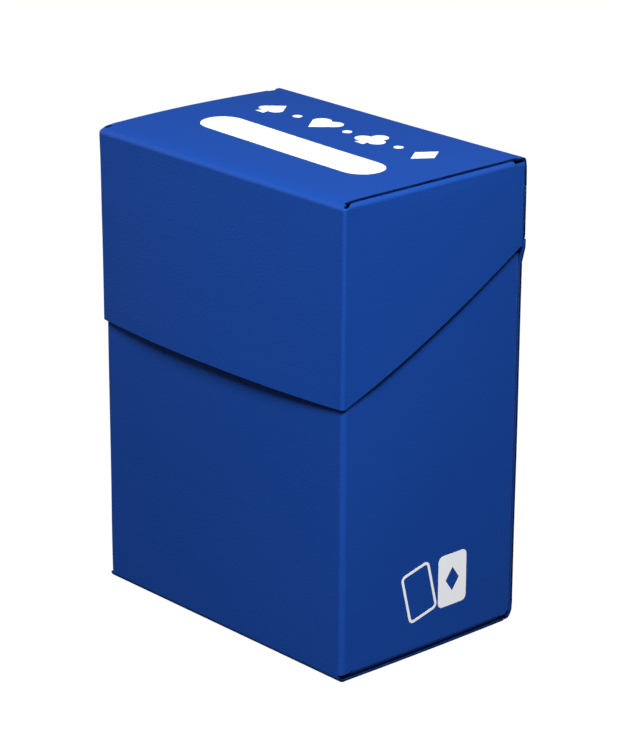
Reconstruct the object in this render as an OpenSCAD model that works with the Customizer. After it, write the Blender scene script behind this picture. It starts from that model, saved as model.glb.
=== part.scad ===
// Card deck box, folded from creased polypropylene sheet.
// The wrap is one strip of panels: body front, base, back, hinge, lid back, lid top and lid front.
// Side panels turn back from the front panels at the upright creases. Their tabs are glued inside the wrap.
// +Z is up, the front faces -Y, and the origin is the middle of the base.

/* [Box] */
// Width across the lid's side flaps
box_w = 72; // [66:1:90]
// Depth from the lid's front flap to the back panel
box_d = 47.6; // [40:0.1:80]
// Height of the closed box at the crown of the lid
box_h = 95.9; // [93:0.1:130]

/* [Sheet] */
// Thickness of the sheet
sheet = 0.5; // [0.4:0.1:0.7]
// Outside radius of a crease between two panels
crease_r = 1.2; // [1:0.1:1.6]
// Outside radius where a glued tab turns in
tab_r = 1.6; // [1.3:0.1:2]
// How far the wrap's cut edges stop short of the side faces
edge_inset = 0.5; // [0.3:0.1:0.8]
// Thickness of an adhesive strip
glue = 0.1; // [0.05:0.05:0.2]
// Thickness of a printed film of ink
ink = 0.05; // [0.03:0.01:0.1]

/* [Body] */
// Height of the body's rim at the front
front_rim = 71; // [66:1:77]
// How far a glued tab reaches in from the side
tab_reach = 12; // [8:1:16]

/* [Lid] */
// Clearance between the lid's flaps and the body
lid_gap = 0.4; // [0.3:0.1:0.8]
// Height of the hinge line
hinge_h = 78.6; // [78:0.1:84]
// Height of the front flap's lower corners
flap_h = 56; // [45:0.1:64]
// How much lower the front flap's edge is in its middle
flap_dip = 0.8; // [0.2:0.1:3]
// Rise of the bowed top panel above its creases
crown = 0.5; // [0.3:0.1:1.5]
// How far the top panel's side edges stop short of the lid's side faces
top_inset = 1.6; // [1.4:0.1:2]

/* [Divider] */
// Width of the loose divider
divider_w = 66; // [60:1:66]
// Height of the divider
divider_h = 88; // [70:1:88]
// Thickness of the divider
divider_t = 0.5; // [0.4:0.1:0.8]

/* [Hidden] */
$fn = 64;
big_fn = 1440;
far = 1200;

box_blue = [0.10, 0.27, 0.62];
print_white = [0.95, 0.96, 0.97];
glue_clear = [0.80, 0.80, 0.72];

// Body: outer faces
body_w = box_w - 2 * (sheet + lid_gap);
side_x = body_w / 2;
front_y = -box_d / 2 + sheet + lid_gap;
back_y = box_d / 2;
wrap_x = side_x - edge_inset;
rear_rim = hinge_h - 0.5;
inner_y = back_y - sheet - glue;
floor_z = sheet + glue;
shoulder = 0.8;
relief_r = 0.8;
tab_end = 2.8;
tab_slant = 4;
rear_tab_low = 3.2;
rear_tab_high = hinge_h - 2;
flare_h = 4;

// Hinge: a thin web left at the outer face
web = 0.25;
web_h = 1;

// Lid: outer faces
lid_x = box_w / 2;
lid_front_y = -box_d / 2;
lid_wrap_x = lid_x - edge_inset;
top_x = lid_x - top_inset;
flap_rear_y = back_y - sheet - 0.1;

// The top panel is an arc about a line along X, tangent to the creases at its two ends.
top_a = box_d / 2 - crease_r;
top_h = (top_a * top_a + crown * crown) / (2 * crown);
top_r = top_h + crease_r;
top_z = box_h - top_r;
top_angle = asin(top_a / top_h);
crease_z = box_h - crown - crease_r;
lid_tab_r = top_r - sheet - glue;
lid_tab_from = lid_front_y + tab_end;
lid_tab_to = flap_rear_y - 1.8;

// The front flap's edge is an arc through its two lower corners.
flap_half = lid_x - crease_r;
flap_r = (flap_half * flap_half + flap_dip * flap_dip) / (2 * flap_dip);

// The side flap's slanting edge is a shallow arc from the front corner up to the hinge.
slant_from = [lid_front_y + crease_r, flap_h];
slant_to = [flap_rear_y, hinge_h - 0.2];
slant_dip = 0.5;

// Print: the write-on strip and the row of marks on the lid, and the card mark on the side
strip_l = 49.4;
strip_w = 9.3;
strip_at = [-0.1, -4.7];
marks_at = [-0.4, 10.2];
mark_size = 7.4;
mark_pitch = 14.6;
dot_r = 1;
card_at = [1.5, 13.8];
card_w = 7.6;
card_h = 10.8;

// ---------- shared shapes ----------

// Extrudes a profile drawn as (y, z) along X, centred on X = 0
module across(width) {
    translate([-width / 2, 0, 0]) rotate([90, 0, 90]) linear_extrude(width) children();
}

// Stands an outline drawn as (y, z) up as a sheet whose outer face is at X = x, on the +X side
module side_sheet(x, thick = sheet) {
    translate([x - thick, 0, 0]) rotate([90, 0, 90]) linear_extrude(thick) children();
}

// Stands an outline drawn as (x, z) up as a sheet whose lowest Y is y
module upright_sheet(y, thick = sheet) {
    translate([0, y + thick, 0]) rotate([90, 0, 0]) linear_extrude(thick) children();
}

// Ring of sheet between two directions, in degrees, about the origin
module arc_band(r, from, to, thick = sheet, fn = $fn) {
    intersection() {
        difference() {
            circle(r, $fn = fn);
            circle(r - thick, $fn = fn);
        }
        polygon([[0, 0], far * [cos(from), sin(from)], far * [cos(to), sin(to)]]);
    }
}

// The right-hand child and its mirror image on the left
module on_side(side) {
    if (side > 0) children();
    else mirror([1, 0, 0]) children();
}

// Upright crease that turns a front panel back into the side panel on its +X side
module upright_crease(x, y, low, high) {
    translate([x - crease_r, y + crease_r, low])
        linear_extrude(high - low) arc_band(crease_r, -90, 0);
}

// Four-sided tab outline: from low to high at its root, shorter at its free end
module tab_outline(root, end, low, high) {
    polygon([[root, low], [root, high], [end, high - tab_slant], [end, low + tab_slant]]);
}

// ---------- body ----------

module base_panel() {
    color(box_blue) difference() {
        translate([-wrap_x, front_y + crease_r, 0])
            cube([2 * wrap_x, back_y - front_y - 2 * crease_r, sheet]);
        base_reliefs();
    }
}

// Small round holes where the creases meet at the front corners of the base
module base_reliefs() {
    for (side = [-1, 1])
        translate([side * wrap_x, front_y + crease_r + relief_r, -1]) cylinder(r = relief_r, h = 4);
}

module front_panel() {
    color(box_blue) {
        upright_sheet(front_y) translate([-side_x + crease_r, crease_r])
            square([body_w - 2 * crease_r, front_rim - crease_r]);
        for (side = [-1, 1])
            on_side(side) upright_crease(side_x, front_y, crease_r + shoulder, front_rim);
        difference() {
            across(2 * wrap_x) translate([front_y + crease_r, crease_r]) arc_band(crease_r, 180, 270);
            base_reliefs();
        }
    }
}

// The side panel's lower edge steps down past the ends of its base tab, as cut
module side_outline() {
    y0 = front_y + crease_r;
    y1 = inner_y - tab_r;
    low = floor_z + tab_r;
    union() {
        polygon([[y0, low], [y1, low], [y1, rear_rim], [y0, front_rim]]);
        translate([y0, low - shoulder]) square([tab_end - crease_r, shoulder]);
        translate([y1 - 2, low - shoulder]) square([2, shoulder]);
        translate([y1, rear_tab_high + 1]) square([shoulder, rear_rim - rear_tab_high - 1]);
        translate([y1, low - shoulder]) square([shoulder, rear_tab_low - 1 - low + shoulder]);
    }
}

module side_panel(side) {
    color(box_blue) on_side(side) side_sheet(side_x) side_outline();
}

// Turns in from the side panel and lies flat against the inside of the back panel
module rear_tab(side) {
    color(box_blue) on_side(side) {
        translate([side_x - tab_r, inner_y - tab_r, rear_tab_low])
            linear_extrude(rear_tab_high - rear_tab_low) arc_band(tab_r, 0, 90);
        upright_sheet(inner_y - sheet)
            tab_outline(side_x - tab_r, side_x - tab_reach, rear_tab_low, rear_tab_high);
    }
}

// Turns in from the side panel and lies flat on the base panel
module base_tab(side) {
    y0 = front_y + tab_end;
    y1 = inner_y - tab_r - 2;
    color(box_blue) on_side(side) {
        translate([side_x - tab_r, y1, floor_z + tab_r])
            rotate([90, 0, 0]) linear_extrude(y1 - y0) arc_band(tab_r, 270, 360);
        translate([0, 0, floor_z]) linear_extrude(sheet)
            tab_outline(side_x - tab_r, side_x - tab_reach, y0, y1);
    }
}

// The back panel widens to the lid's width just below the hinge
module back_panel() {
    top = hinge_h - web_h / 2;
    color(box_blue) {
        upright_sheet(back_y - sheet) polygon([
            [-wrap_x, crease_r], [wrap_x, crease_r], [wrap_x, top - flare_h], [lid_wrap_x, top],
            [-lid_wrap_x, top], [-wrap_x, top - flare_h]
        ]);
        across(2 * wrap_x) translate([back_y - crease_r, crease_r]) arc_band(crease_r, 270, 360);
    }
}

module rear_tab_adhesive() {
    color(glue_clear) for (side = [-1, 1]) on_side(side)
        upright_sheet(inner_y, glue)
            translate([side_x - tab_reach + 1.5, rear_tab_low + 8])
                square([tab_reach - tab_r - 3, rear_tab_high - rear_tab_low - 16]);
}

module base_tab_adhesive() {
    y0 = front_y + tab_end + 7;
    y1 = inner_y - tab_r - 9;
    color(glue_clear) for (side = [-1, 1]) on_side(side)
        translate([side_x - tab_reach + 1.5, y0, sheet]) cube([tab_reach - tab_r - 3, y1 - y0, glue]);
}

// Living hinge: the sheet pressed thin at its outer face, joining the back panel to the lid
module hinge_web() {
    color(box_blue) translate([-lid_wrap_x, back_y - web, hinge_h - web_h / 2])
        cube([2 * lid_wrap_x, web, web_h]);
}

// ---------- lid ----------

module lid_back_panel() {
    low = hinge_h + web_h / 2;
    color(box_blue) {
        upright_sheet(back_y - sheet) translate([-lid_wrap_x, low])
            square([2 * lid_wrap_x, crease_z - low]);
        across(2 * lid_wrap_x) translate([back_y - crease_r, crease_z])
            arc_band(crease_r, 0, 90 - top_angle);
    }
}

module lid_top_panel() {
    color(box_blue) difference() {
        across(2 * top_x) translate([0, top_z])
            arc_band(top_r, 90 - top_angle, 90 + top_angle, fn = big_fn);
        lid_reliefs();
    }
}

// Small round holes where the creases meet at the front corners of the lid
module lid_reliefs() {
    for (side = [-1, 1])
        translate([side * lid_wrap_x, lid_front_y + crease_r + relief_r, box_h - 5])
            cylinder(r = relief_r, h = 6);
}

module flap_front_outline() {
    intersection() {
        translate([-flap_half, flap_h - flap_dip])
            square([2 * flap_half, crease_z - flap_h + flap_dip]);
        translate([0, flap_h - flap_dip + flap_r]) circle(flap_r, $fn = big_fn);
    }
}

module lid_front_flap() {
    color(box_blue) {
        upright_sheet(lid_front_y) flap_front_outline();
        for (side = [-1, 1])
            on_side(side) upright_crease(lid_x, lid_front_y, flap_h, crease_z - shoulder);
        difference() {
            across(2 * lid_wrap_x) translate([lid_front_y + crease_r, crease_z])
                arc_band(crease_r, 90 + top_angle, 180);
            lid_reliefs();
        }
    }
}

// The flap's top edge follows the bowed top panel. Its slanting lower edge is a shallow arc.
module lid_side_outline() {
    run = slant_to - slant_from;
    length = norm(run);
    r = (length * length / 4 + slant_dip * slant_dip) / (2 * slant_dip);
    middle = (slant_from + slant_to) / 2;
    up = [-run[1], run[0]] / length;
    below = slant_from - 3 * up;
    intersection() {
        polygon([
            slant_from, below, slant_to - 3 * up, slant_to,
            [slant_to[0], box_h], [slant_from[0], box_h]
        ]);
        translate(middle + (r - slant_dip) * up) circle(r, $fn = big_fn);
        translate([slant_from[0], 0]) square([slant_to[0] - slant_from[0], far]);
        union() {
            translate([0, top_z]) circle(lid_tab_r - tab_r, $fn = big_fn);
            intersection() {
                translate([0, top_z]) circle(lid_tab_r - tab_r + shoulder, $fn = big_fn);
                union() {
                    translate([slant_from[0], 0]) square([lid_tab_from - slant_from[0], far]);
                    translate([lid_tab_to, 0]) square([slant_to[0] - lid_tab_to, far]);
                }
            }
        }
    }
}
module lid_side_flap(side) {
    color(box_blue) on_side(side) side_sheet(lid_x) lid_side_outline();
}

// Turns in from the side flap and follows the underside of the bowed top panel, free corners cut off
module lid_tab(side) {
    a0 = asin(lid_tab_from / lid_tab_r);
    a1 = asin(lid_tab_to / lid_tab_r);
    color(box_blue) on_side(side) difference() {
        translate([0, 0, top_z]) rotate([0, 90, 0]) rotate([0, 0, 180 - a1])
            rotate_extrude(angle = a1 - a0, $fn = big_fn) {
                translate([lid_tab_r - tab_r, lid_x - tab_r]) arc_band(tab_r, 0, 90);
                translate([lid_tab_r - sheet, lid_x - tab_reach]) square([sheet, tab_reach - tab_r]);
            }
        translate([0, 0, crease_z - 5]) linear_extrude(10) {
            free_corner(lid_tab_to, 1);
            free_corner(lid_tab_from, -1);
        }
    }
}

// Wedge beyond the slanting end of a lid tab, at Y = y; out is the way it faces
module free_corner(y, out) {
    root = lid_x - tab_r - 0.5;
    tip = lid_x - tab_reach - 1;
    polygon([[root, y], [tip, y - out * tab_slant], [tip, y + out], [root, y + out]]);
}

// A film on the crown of the lid: from is how far inside the outer face it starts
module lid_film(from, thick) {
    intersection() {
        across(2 * lid_wrap_x) translate([0, top_z])
            arc_band(top_r - from + thick, 90 - top_angle, 90 + top_angle, thick, big_fn);
        translate([0, 0, box_h - 6]) linear_extrude(8) children();
    }
}

module lid_tab_adhesive() {
    color(glue_clear) for (side = [-1, 1]) on_side(side)
        lid_film(sheet + glue, glue)
            translate([lid_x - tab_reach + 1.5, lid_tab_from + 7])
                square([tab_reach - tab_r - 3, lid_tab_to - lid_tab_from - 14]);
}

// ---------- print ----------

module name_strip() {
    color(print_white) lid_film(0, ink) translate(strip_at) {
        square([strip_l - strip_w, strip_w], center = true);
        for (side = [-1, 1]) translate([side * (strip_l - strip_w) / 2, 0]) circle(strip_w / 2);
    }
}

// Card suits, each one unit high about its own centre
module diamond() {
    polygon([[0, 0.5], [0.36, 0], [0, -0.5], [-0.36, 0]]);
}

module heart() {
    for (side = [-1, 1]) translate([side * 0.235, 0.215]) circle(0.265);
    polygon([[-0.458, 0.07], [0, -0.5], [0.458, 0.07], [0.2, 0.3], [0, 0.2], [-0.2, 0.3]]);
}

module stalk() {
    polygon([[-0.17, -0.5], [0.17, -0.5], [0.035, -0.1], [-0.035, -0.1]]);
}

module spade() {
    translate([0, 0.1]) scale(0.8) mirror([0, 1]) heart();
    stalk();
}

module club() {
    translate([0, 0.26]) circle(0.24);
    for (side = [-1, 1]) translate([side * 0.25, -0.09]) circle(0.24);
    polygon([[-0.14, -0.12], [0.14, -0.12], [0, 0.2]]);
    stalk();
}

module suit_marks() {
    color(print_white) lid_film(0, ink) translate(marks_at) {
        translate([-1.5 * mark_pitch, 0]) scale(mark_size) spade();
        translate([-0.5 * mark_pitch, 0]) scale(mark_size) heart();
        translate([0.5 * mark_pitch, 0]) scale(mark_size) club();
        translate([1.5 * mark_pitch, 0]) scale(mark_size) diamond();
        for (gap = [-1, 0, 1]) translate([gap * mark_pitch, 0]) circle(dot_r);
    }
}

module card_shape(shrink = 0) {
    w = card_w - 2 * shrink;
    h = card_h - 2 * shrink;
    r = 1.2 - shrink;
    square([w - 2 * r, h], center = true);
    square([w, h - 2 * r], center = true);
    for (x = [-1, 1], y = [-1, 1]) translate([x * (w / 2 - r), y * (h / 2 - r)]) circle(r);
}

// Two playing cards side by side: a leaning outlined one behind a solid one with a diamond cut out
module card_mark() {
    color(print_white) side_sheet(side_x + ink, ink) translate(card_at) {
        difference() {
            translate([-4.3, -0.4]) rotate(14) difference() {
                card_shape();
                card_shape(0.55);
            }
            translate([4.6, 0]) square([card_w + 0.8, card_h + 4], center = true);
        }
        translate([4.6, 0]) difference() {
            card_shape();
            scale(5) diamond();
        }
    }
}

// ---------- contents ----------

// Loose sheet that parts the deck. It rests against the back and slides to the front.
module deck_divider() {
    low = floor_z + sheet + 0.2;
    r = 3;
    color(box_blue) upright_sheet(inner_y - sheet - 0.2 - divider_t, divider_t)
        translate([0, low + divider_h / 2]) {
            square([divider_w - 2 * r, divider_h], center = true);
            square([divider_w, divider_h - 2 * r], center = true);
            for (x = [-1, 1], z = [-1, 1])
                translate([x * (divider_w / 2 - r), z * (divider_h / 2 - r)]) circle(r);
        }
}

base_panel();
front_panel();
side_panel(-1);  // left_side_panel
side_panel(1);  // right_side_panel
back_panel();
rear_tab(-1);  // left_rear_tab
rear_tab(1);  // right_rear_tab
base_tab(-1);  // left_base_tab
base_tab(1);  // right_base_tab
rear_tab_adhesive();
base_tab_adhesive();
hinge_web();
lid_back_panel();
lid_top_panel();
lid_front_flap();
lid_side_flap(-1);  // lid_left_flap
lid_side_flap(1);  // lid_right_flap
lid_tab(-1);  // lid_left_tab
lid_tab(1);  // lid_right_tab
lid_tab_adhesive();
name_strip();
suit_marks();
card_mark();
deck_divider();
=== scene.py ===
import math
import bpy
import bmesh
from mathutils import Matrix, Vector, noise


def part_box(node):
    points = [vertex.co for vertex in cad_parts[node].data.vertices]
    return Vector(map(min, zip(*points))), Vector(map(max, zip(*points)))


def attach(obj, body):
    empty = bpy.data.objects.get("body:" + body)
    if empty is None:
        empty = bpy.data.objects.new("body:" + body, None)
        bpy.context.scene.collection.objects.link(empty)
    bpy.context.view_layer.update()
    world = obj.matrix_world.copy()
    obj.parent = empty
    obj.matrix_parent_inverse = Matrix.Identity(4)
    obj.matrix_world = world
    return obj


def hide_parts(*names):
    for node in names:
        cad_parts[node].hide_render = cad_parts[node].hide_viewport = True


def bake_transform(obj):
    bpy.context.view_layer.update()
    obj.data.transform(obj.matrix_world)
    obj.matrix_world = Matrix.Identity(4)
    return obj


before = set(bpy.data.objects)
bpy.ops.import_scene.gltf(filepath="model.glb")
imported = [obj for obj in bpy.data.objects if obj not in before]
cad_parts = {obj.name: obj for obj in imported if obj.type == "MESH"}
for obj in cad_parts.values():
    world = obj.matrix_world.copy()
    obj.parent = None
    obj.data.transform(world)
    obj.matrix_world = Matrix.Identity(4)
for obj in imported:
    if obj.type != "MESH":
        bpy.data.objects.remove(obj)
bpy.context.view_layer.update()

# ---------------------------------------------------------------- base panel
# The bottom of the wrap: one panel of the die-cut polypropylene sheet, 0.5 mm
# thick, between the front and rear bottom creases. It bows up a little, so the
# box stands on its creases.


def mm_box(node):
    """A CAD node's lowest and highest corners, in millimetres."""
    low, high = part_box(node)
    return low * 1000, high * 1000


front_low, front_high = mm_box("front_panel")
back_high = mm_box("back_panel")[1]
base_low, base_high = mm_box("base_panel")
sheet = base_high.z - base_low.z
crease_r = front_high.y - front_low.y
front_y, back_y = front_low.y, back_high.y
side_x = front_high.x
quarter = crease_r * math.pi / 2
run_on = 0.4


def crease(s, d, r):
    """Forward and inward travel of a sheet that turns a square corner of outside radius r at s = 0.
    d is the depth below the sheet's outer face."""
    if s <= 0:
        return s, d
    if s < r * math.pi / 2:
        turn = s / r
        return (r - d) * math.sin(turn), r - (r - d) * math.cos(turn)
    return r - d, r + s - r * math.pi / 2


def body_wrap(s, d):
    """(y, z) of the body's strip: front, base and back, with s = 0 where the front meets its bottom crease."""
    base_run = back_y - front_y - 2 * crease_r
    if s < quarter:
        down, inward = crease(s, d, crease_r)
        return front_y + inward, crease_r - down
    if s < quarter + base_run:
        return front_y + crease_r + s - quarter, d
    along, up = crease(s - quarter - base_run, d, crease_r)
    return back_y - crease_r + along, up


hinge_line = back_high.z + 0.5
wave_height, wave_length = 0.16, 31
hinge_calm = 12
wave_from_foot = 12
wave_seed = 7
noise.seed_set(wave_seed)


def unevenness(p):
    """Slow, slight waviness of folded sheet, in millimetres.
    Front to back, it dies away at the hinge, so the lid turns freely."""
    wave = noise.noise_vector(p / wave_length) * wave_height
    wave.y *= min(1, abs(p.z - hinge_line) / hinge_calm)
    return wave


body_middle = (front_y + back_y) / 2
bow_height = 80
side_swell, side_pinch = 0.28, 0.2
front_swell, back_swell = 0.30, 0.35
base_arch, base_arch_height = 0.35, 6


def body_bow(p):
    """The body's panels bow out a little between their creases, and the base bows up."""
    x, z = p.x / side_x, p.z / bow_height
    y = (p.y - body_middle) / ((back_y - front_y) / 2)
    rise = min(max(z, 0), 1)
    swell = 1 - (1 - rise) ** 2
    level = math.sin(math.pi * rise)
    out = p + unevenness(p) * min(1, max(0, p.z) / wave_from_foot)
    out.x += side_swell * x * (1 - y * y) - side_pinch * x * (1 - rise) ** 2
    out.y += (front_swell * swell if y < 0 else back_swell * level) * y * (1 - x * x)
    out.z += base_arch * (1 - x * x) * (1 - y * y) * max(0, 1 - p.z / base_arch_height)
    return out


def steps(low, high, pitch):
    count = max(1, round((high - low) / pitch))
    return [low + (high - low) * i / count for i in range(count + 1)]


def rounded(corners):
    """Outline from (u, v) or (u, v, radius) corners, run anticlockwise, with those corners filleted."""
    outline = []
    for i, corner in enumerate(corners):
        here = Vector(corner[:2])
        r = corner[2] if len(corner) > 2 else 0
        if not r:
            outline.append(here)
            continue
        before = (Vector(corners[i - 1][:2]) - here).normalized()
        after = (Vector(corners[(i + 1) % len(corners)][:2]) - here).normalized()
        half = before.angle(after) / 2
        centre = here + (before + after).normalized() * r / math.sin(half)
        first = here + before * r / math.tan(half) - centre
        last = here + after * r / math.tan(half) - centre
        sweep = math.atan2(first.x * last.y - first.y * last.x, first.dot(last))
        count = max(3, round(abs(sweep) / math.radians(15)))
        for k in range(count + 1):
            outline.append(centre + Matrix.Rotation(sweep * k / count, 2) @ first)
    return outline


def cut_panel(name, outline, fold, thick, u_lines=(), v_lines=(), joins=(), creased=None, edge=0.11):
    """A die-cut panel with edges rounded by edge. outline lies in the flat sheet, fold(u, v, depth) puts it in
    place, and depth runs inward. u_lines and v_lines divide it so that it can bend. joins lists (axis, value)
    lines where the sheet runs on into the next panel, so there is no cut edge."""
    corners = [Vector(p) for p in outline]
    ways, insets = [], []
    for i, a in enumerate(corners):
        b = corners[(i + 1) % len(corners)]
        way = (b - a).normalized()
        ways.append(Vector((way.y, -way.x)))
        meets = any(abs(a[k] - value) < 1e-5 and abs(b[k] - value) < 1e-5 for k, value in joins)
        insets.append(0 if meets else edge)
    flat = bmesh.new()
    moves = {}
    inner = []
    for i, p in enumerate(corners):
        n0, o0, n1, o1 = ways[i - 1], insets[i - 1], ways[i], insets[i]
        turn = n0.x * n1.y - n0.y * n1.x
        if abs(turn) < 0.02:
            move = n1 * max(o0, o1)
        else:
            move = Vector(((o0 * n1.y - o1 * n0.y) / turn, (n0.x * o1 - n1.x * o0) / turn))
        vert = flat.verts.new((p.x - move.x, p.y - move.y, 0))
        moves[vert] = move
        inner.append(vert)
    starts = [v.co.xy.copy() for v in inner]
    flat.faces.new(inner)
    for axis, values in ((0, u_lines), (1, v_lines)):
        across = Vector((1, 0, 0)) if axis == 0 else Vector((0, 1, 0))
        for value in values:
            every = flat.verts[:] + flat.edges[:] + flat.faces[:]
            bmesh.ops.bisect_plane(flat, geom=every, dist=1e-4, plane_co=across * value, plane_no=across)
    for vert in flat.verts:
        if vert in moves or not vert.is_boundary:
            continue
        nearest = []
        for i, a in enumerate(starts):
            along = starts[(i + 1) % len(starts)] - a
            t = min(1, max(0, (vert.co.xy - a).dot(along) / along.length_squared))
            nearest.append(((vert.co.xy - a - along * t).length, i))
        i = min(nearest)[1]
        moves[vert] = ways[i] * insets[i]

    points, normals, marks, edges = [], [], [], []

    def add(u, v, d, tilt, move):
        e = 0.01
        here = fold(u, v, d)
        face = (fold(u + e, v, d) - fold(u - e, v, d)).cross(fold(u, v + e, d) - fold(u, v - e, d)).normalized()
        if move.length > 1e-6:
            way = move.normalized() * e
            out = (fold(u + way.x, v + way.y, d) - fold(u - way.x, v - way.y, d)).normalized()
            normal = face * math.cos(tilt) + out * math.sin(tilt)
        else:
            normal = face if tilt < 1.6 else -face
        points.append(here / 1000)
        normals.append(normal.normalized())
        marks.append(creased(u, v) if creased else 0)
        edges.append(math.sin(tilt))
        return len(points) - 1

    flat.verts.index_update()
    stages = [0, 30, 60, 90, 91, 120, 150, 180] if edge > 0.05 else [0, 90, 180]
    rings = {vert: [] for vert in flat.verts}
    for vert in flat.verts:
        move = moves.get(vert, Vector((0, 0)))
        for stage in stages if vert.is_boundary else (0, 180):
            tilt = math.radians(stage)
            bevel = edge * (1 - abs(math.cos(tilt)))
            depth = bevel if stage <= 90 else thick - bevel
            reach = math.sin(tilt)
            rings[vert].append(add(vert.co.x + move.x * reach, vert.co.y + move.y * reach, depth, tilt, move))
    faces = []
    for face in flat.faces:
        faces.append([rings[v][0] for v in face.verts])
        faces.append([rings[v][-1] for v in reversed(face.verts)])
        for loop in face.loops:
            if loop.edge.is_boundary:
                a, b = rings[loop.vert], rings[loop.link_loop_next.vert]
                for k in range(len(stages) - 1):
                    faces.append([b[k], a[k], a[k + 1], b[k + 1]])
    flat.free()
    mesh = bpy.data.meshes.new(name)
    mesh.from_pydata(points, [], faces)
    mesh.attributes.new("crease", "FLOAT", "POINT").data.foreach_set("value", marks)
    mesh.attributes.new("cut_edge", "FLOAT", "POINT").data.foreach_set("value", edges)
    mesh.polygons.foreach_set("use_smooth", [True] * len(mesh.polygons))
    mesh.normals_split_custom_set_from_vertices(normals)
    piece = bpy.data.objects.new(name, mesh)
    bpy.context.scene.collection.objects.link(piece)
    return piece


def group_of(name, inputs, outputs):
    """An empty shader group with (name, default) number inputs and (name, kind) outputs."""
    group = bpy.data.node_groups.new(name, "ShaderNodeTree")
    for label, value in inputs:
        socket = group.interface.new_socket(label, in_out="INPUT", socket_type="NodeSocketFloat")
        socket.default_value = value
    for label, kind in outputs:
        group.interface.new_socket(label, in_out="OUTPUT", socket_type=kind)
    return group, group.nodes.new("NodeGroupInput"), group.nodes.new("NodeGroupOutput")


def maths(tree, operation, a, b=None, c=None, clamp=False):
    node = tree.nodes.new("ShaderNodeMath")
    node.operation, node.use_clamp = operation, clamp
    for i, value in enumerate((a, b, c)):
        if value is None:
            continue
        if isinstance(value, (int, float)):
            node.inputs[i].default_value = value
        else:
            tree.links.new(value, node.inputs[i])
    return node.outputs[0]


def speckle(tree, place, scale, detail=2, stretch=(1, 1, 1)):
    """A noise value over the piece, scale per metre, squeezed along the axes by stretch."""
    mapping = tree.nodes.new("ShaderNodeMapping")
    mapping.inputs["Scale"].default_value = stretch
    tree.links.new(place, mapping.inputs["Vector"])
    texture = tree.nodes.new("ShaderNodeTexNoise")
    texture.inputs["Detail"].default_value = detail
    if isinstance(scale, (int, float)):
        texture.inputs["Scale"].default_value = scale
    else:
        tree.links.new(scale, texture.inputs["Scale"])
    tree.links.new(mapping.outputs[0], texture.inputs["Vector"])
    return texture.outputs["Fac"]


# Embossed grain of extruded sheet: fine pebbles, faint roll streaks and slow drifts of tone
sheet_grain, put_in, put_out = group_of(
    "sheet_grain",
    [("Pebbles per metre", 2600.0), ("Depth", 1.0)],
    [("Tone", "NodeSocketFloat"), ("Rub", "NodeSocketFloat"), ("Height", "NodeSocketFloat")],
)
place = sheet_grain.nodes.new("ShaderNodeTexCoord").outputs["Object"]
pebble = sheet_grain.nodes.new("ShaderNodeTexVoronoi")
pebble.feature = "SMOOTH_F1"
pebble.inputs["Smoothness"].default_value = 0.8
sheet_grain.links.new(place, pebble.inputs["Vector"])
sheet_grain.links.new(put_in.outputs["Pebbles per metre"], pebble.inputs["Scale"])
drift = speckle(sheet_grain, place, 22.0, 3)
streak = speckle(sheet_grain, place, 120.0, 2, (0.12, 0.12, 5.0))
cloud = speckle(sheet_grain, place, 260.0, 4)
tone = maths(sheet_grain, "MULTIPLY_ADD", drift, 0.55, maths(sheet_grain, "MULTIPLY", streak, 0.3))
tone = maths(sheet_grain, "MULTIPLY_ADD", cloud, 0.15, tone)
sheet_grain.links.new(tone, put_out.inputs["Tone"])
rubbed = maths(sheet_grain, "MULTIPLY_ADD", streak, 0.5, maths(sheet_grain, "MULTIPLY", cloud, 0.5))
sheet_grain.links.new(rubbed, put_out.inputs["Rub"])
height = maths(sheet_grain, "MULTIPLY_ADD", cloud, 0.5, pebble.outputs["Distance"])
sheet_grain.links.new(maths(sheet_grain, "MULTIPLY", height, put_in.outputs["Depth"]), put_out.inputs["Height"])

# Where the sheet has been creased or cut: creases go paler and smoother, and cut edges get painted shade that
# colours them near black, as if they lay in shadow
sheet_wear_and_edge_shade, put_in, put_out = group_of(
    "sheet_wear_and_edge_shade",
    [("Crease", 1.0), ("Edge shade amount", 1.0)],
    [("Pale", "NodeSocketFloat"), ("Edge shade", "NodeSocketFloat")],
)
place = sheet_wear_and_edge_shade.nodes.new("ShaderNodeTexCoord").outputs["Object"]
folded = sheet_wear_and_edge_shade.nodes.new("ShaderNodeAttribute")
folded.attribute_name = "crease"
edge_shade_mark = sheet_wear_and_edge_shade.nodes.new("ShaderNodeAttribute")
edge_shade_mark.attribute_name = "cut_edge"
patchy = maths(sheet_wear_and_edge_shade, "MULTIPLY_ADD", speckle(sheet_wear_and_edge_shade, place, 340.0, 3), 0.9, 0.5)
for mark, amount, mask in ((folded, "Crease", "Pale"), (edge_shade_mark, "Edge shade amount", "Edge shade")):
    worn_and_shaded = maths(sheet_wear_and_edge_shade, "MULTIPLY", mark.outputs["Fac"], patchy)
    worn_and_shaded = maths(sheet_wear_and_edge_shade, "MULTIPLY", worn_and_shaded, put_in.outputs[amount], clamp=True)
    sheet_wear_and_edge_shade.links.new(worn_and_shaded, put_out.inputs[mask])


# The second colour is painted shade: cut edges are coloured near black, standing in for the shadow in gaps and
# under edges.
pale_blue, edge_shade_blue = (0.018, 0.080, 0.36), (0.0016, 0.0080, 0.044)
crease_wear, edge_shade_strength = 0.12, 1.0
gloss, gloss_tint = 0.12, (0.35, 0.55, 1, 1)
emboss_strength, emboss_depth = 0.6, 0.00005


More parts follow.
